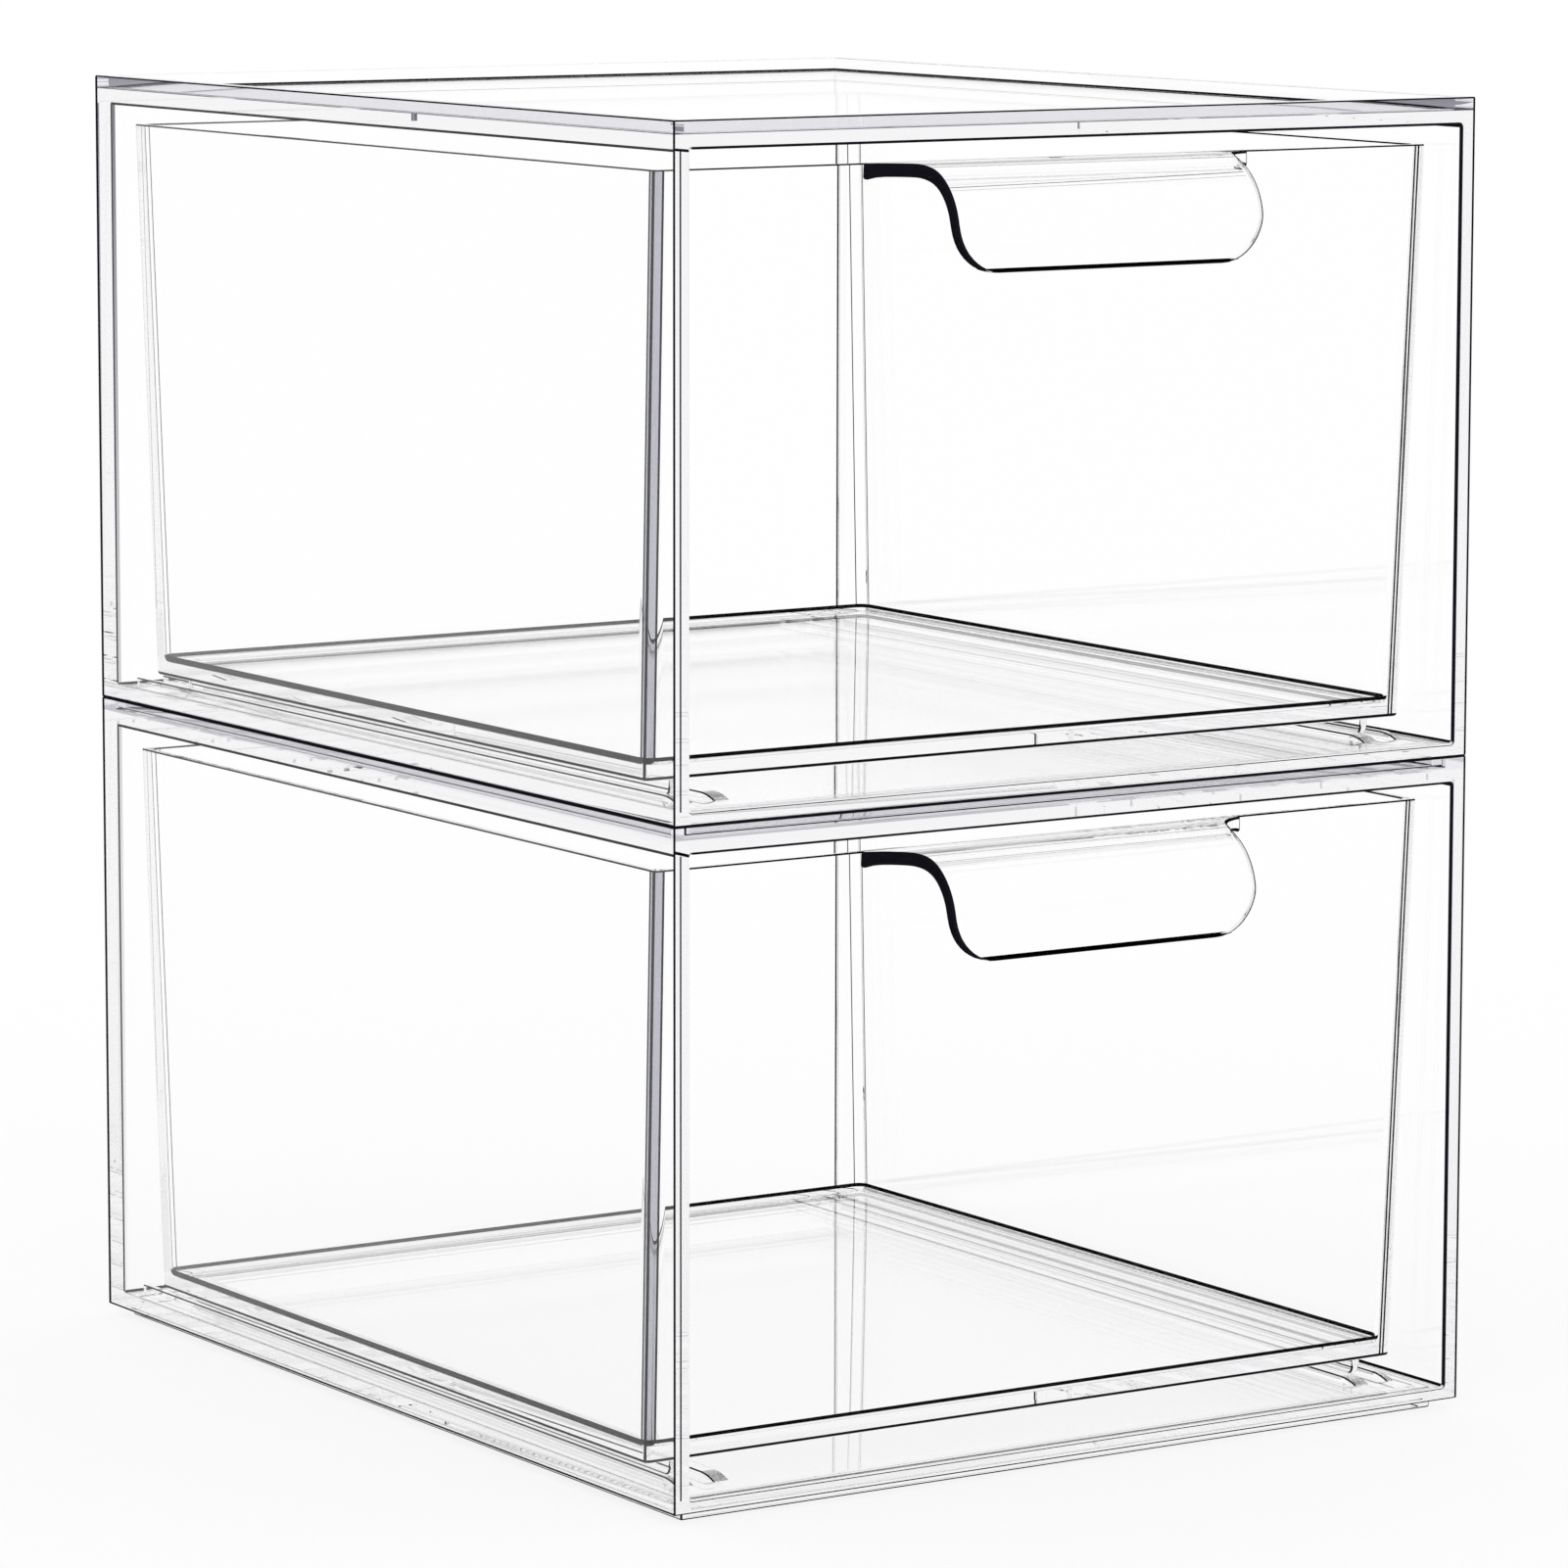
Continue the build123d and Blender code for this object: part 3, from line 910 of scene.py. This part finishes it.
def make_camera():
    """A long lens at the picture's viewing angle."""
    s = settings().studio
    a, e = s.azimuth, s.elevation
    back = Vector((math.sin(a) * math.cos(e), -math.cos(a) * math.cos(e), math.sin(e)))
    right = Vector((math.cos(a), math.sin(a), 0))
    turn = Matrix((right, back.cross(right), back)).transposed() @ Matrix.Rotation(s.roll, 3, "Z")
    data = bpy.data.cameras.new("studio_camera")
    data.lens = s.lens
    data.clip_end = s.floor_size
    camera = bpy.data.objects.new("studio_camera", data)
    camera.matrix_world = Matrix.Translation(s.place) @ turn.to_4x4()
    bpy.context.scene.collection.objects.link(camera)
    bpy.context.scene.camera = camera


def make_world():
    """Even white studio light from all round."""
    world = bpy.data.worlds.new("studio_light")
    bpy.context.scene.world = world
    world.use_nodes = True
    background = world.node_tree.nodes["Background"]
    background.inputs["Color"].default_value = (1, 1, 1, 1)
    background.inputs["Strength"].default_value = settings().studio.light


def make_floor():
    """A wide pale matt floor, lit from below where it is seen, so that shadows on it stay faint."""
    s = settings().studio
    bpy.ops.object.select_all(action="DESELECT")
    bpy.ops.mesh.primitive_plane_add(size=s.floor_size)
    floor = bpy.context.object
    floor.name = floor.data.name = "studio_floor"
    # A paper sweep: an even white without shine
    material = bpy.data.materials.new("white_paper_sweep")
    material.use_nodes = True
    tree = material.node_tree
    tree.nodes.remove(tree.nodes["Principled BSDF"])
    paper = add(tree, "ShaderNodeBsdfDiffuse", {"Color": (*s.floor_colour, 1)})
    glow = add(tree, "ShaderNodeEmission", {"Color": (1, 1, 1, 1), "Strength": 1.0})
    rays = add(tree, "ShaderNodeLightPath")
    views = {0: rays.outputs["Is Camera Ray"], 1: rays.outputs["Is Transmission Ray"]}
    seen = add(tree, "ShaderNodeMath", None, views)
    part = add(tree, "ShaderNodeMath", {1: s.floor_glow}, {0: seen.outputs[0]}, operation="MULTIPLY")
    shaders = {0: part.outputs[0], 1: paper.outputs[0], 2: glow.outputs[0]}
    mix = add(tree, "ShaderNodeMixShader", None, shaders)
    tree.links.new(mix.outputs[0], tree.nodes["Material Output"].inputs["Surface"])
    floor.data.materials.append(material)


# Operators, panel and registration


class CLEARDRAWERS_OT_cases(bpy.types.Operator):
    """Models both cases"""

    bl_idname = "clear_drawers.cases"
    bl_label = "Cases"

    def execute(self, context):
        for unit in UNITS:
            make_case(unit)
        return {"FINISHED"}


class CLEARDRAWERS_OT_drawers(bpy.types.Operator):
    """Models both drawers with their handle lips"""

    bl_idname = "clear_drawers.drawers"
    bl_label = "Drawers"

    def execute(self, context):
        for unit in UNITS:
            make_drawer(unit)
        return {"FINISHED"}


class CLEARDRAWERS_OT_stage(bpy.types.Operator):
    """Sets up the camera, the light and the floor"""

    bl_idname = "clear_drawers.stage"
    bl_label = "Studio"

    def execute(self, context):
        make_camera()
        make_world()
        make_floor()
        context.scene.view_settings.view_transform = "Standard"
        light = context.scene.cycles
        bounces = settings().studio.bounces
        light.max_bounces = light.transmission_bounces = light.glossy_bounces = bounces
        return {"FINISHED"}


OPERATORS = (CLEARDRAWERS_OT_cases, CLEARDRAWERS_OT_drawers, CLEARDRAWERS_OT_stage)


class CLEARDRAWERS_PT_panel(bpy.types.Panel):
    """Lists the steps and the settings"""

    bl_label = "Clear Drawers"
    bl_space_type = "VIEW_3D"
    bl_region_type = "UI"
    bl_category = "Drawers"

    def draw(self, context):
        for operator in OPERATORS:
            self.layout.operator(operator.bl_idname)
        stack = context.scene.clear_drawers
        for group in (stack.case, stack.drawer, stack.lip, stack.plastic, stack.studio):
            box = self.layout.box()
            for name in group.__annotations__:
                box.prop(group, name)


SETTINGS = (CaseSettings, DrawerSettings, LipSettings, PlasticSettings, StudioSettings, StackSettings)


def register():
    for kind in (*SETTINGS, *OPERATORS, CLEARDRAWERS_PT_panel):
        bpy.utils.register_class(kind)
    bpy.types.Scene.clear_drawers = PointerProperty(type=StackSettings)


def unregister():
    del bpy.types.Scene.clear_drawers
    for kind in reversed((*SETTINGS, *OPERATORS, CLEARDRAWERS_PT_panel)):
        bpy.utils.unregister_class(kind)


def main():
    register()
    bpy.ops.clear_drawers.cases()
    bpy.ops.clear_drawers.drawers()
    bpy.ops.clear_drawers.stage()


if __name__ == "__main__":
    main()
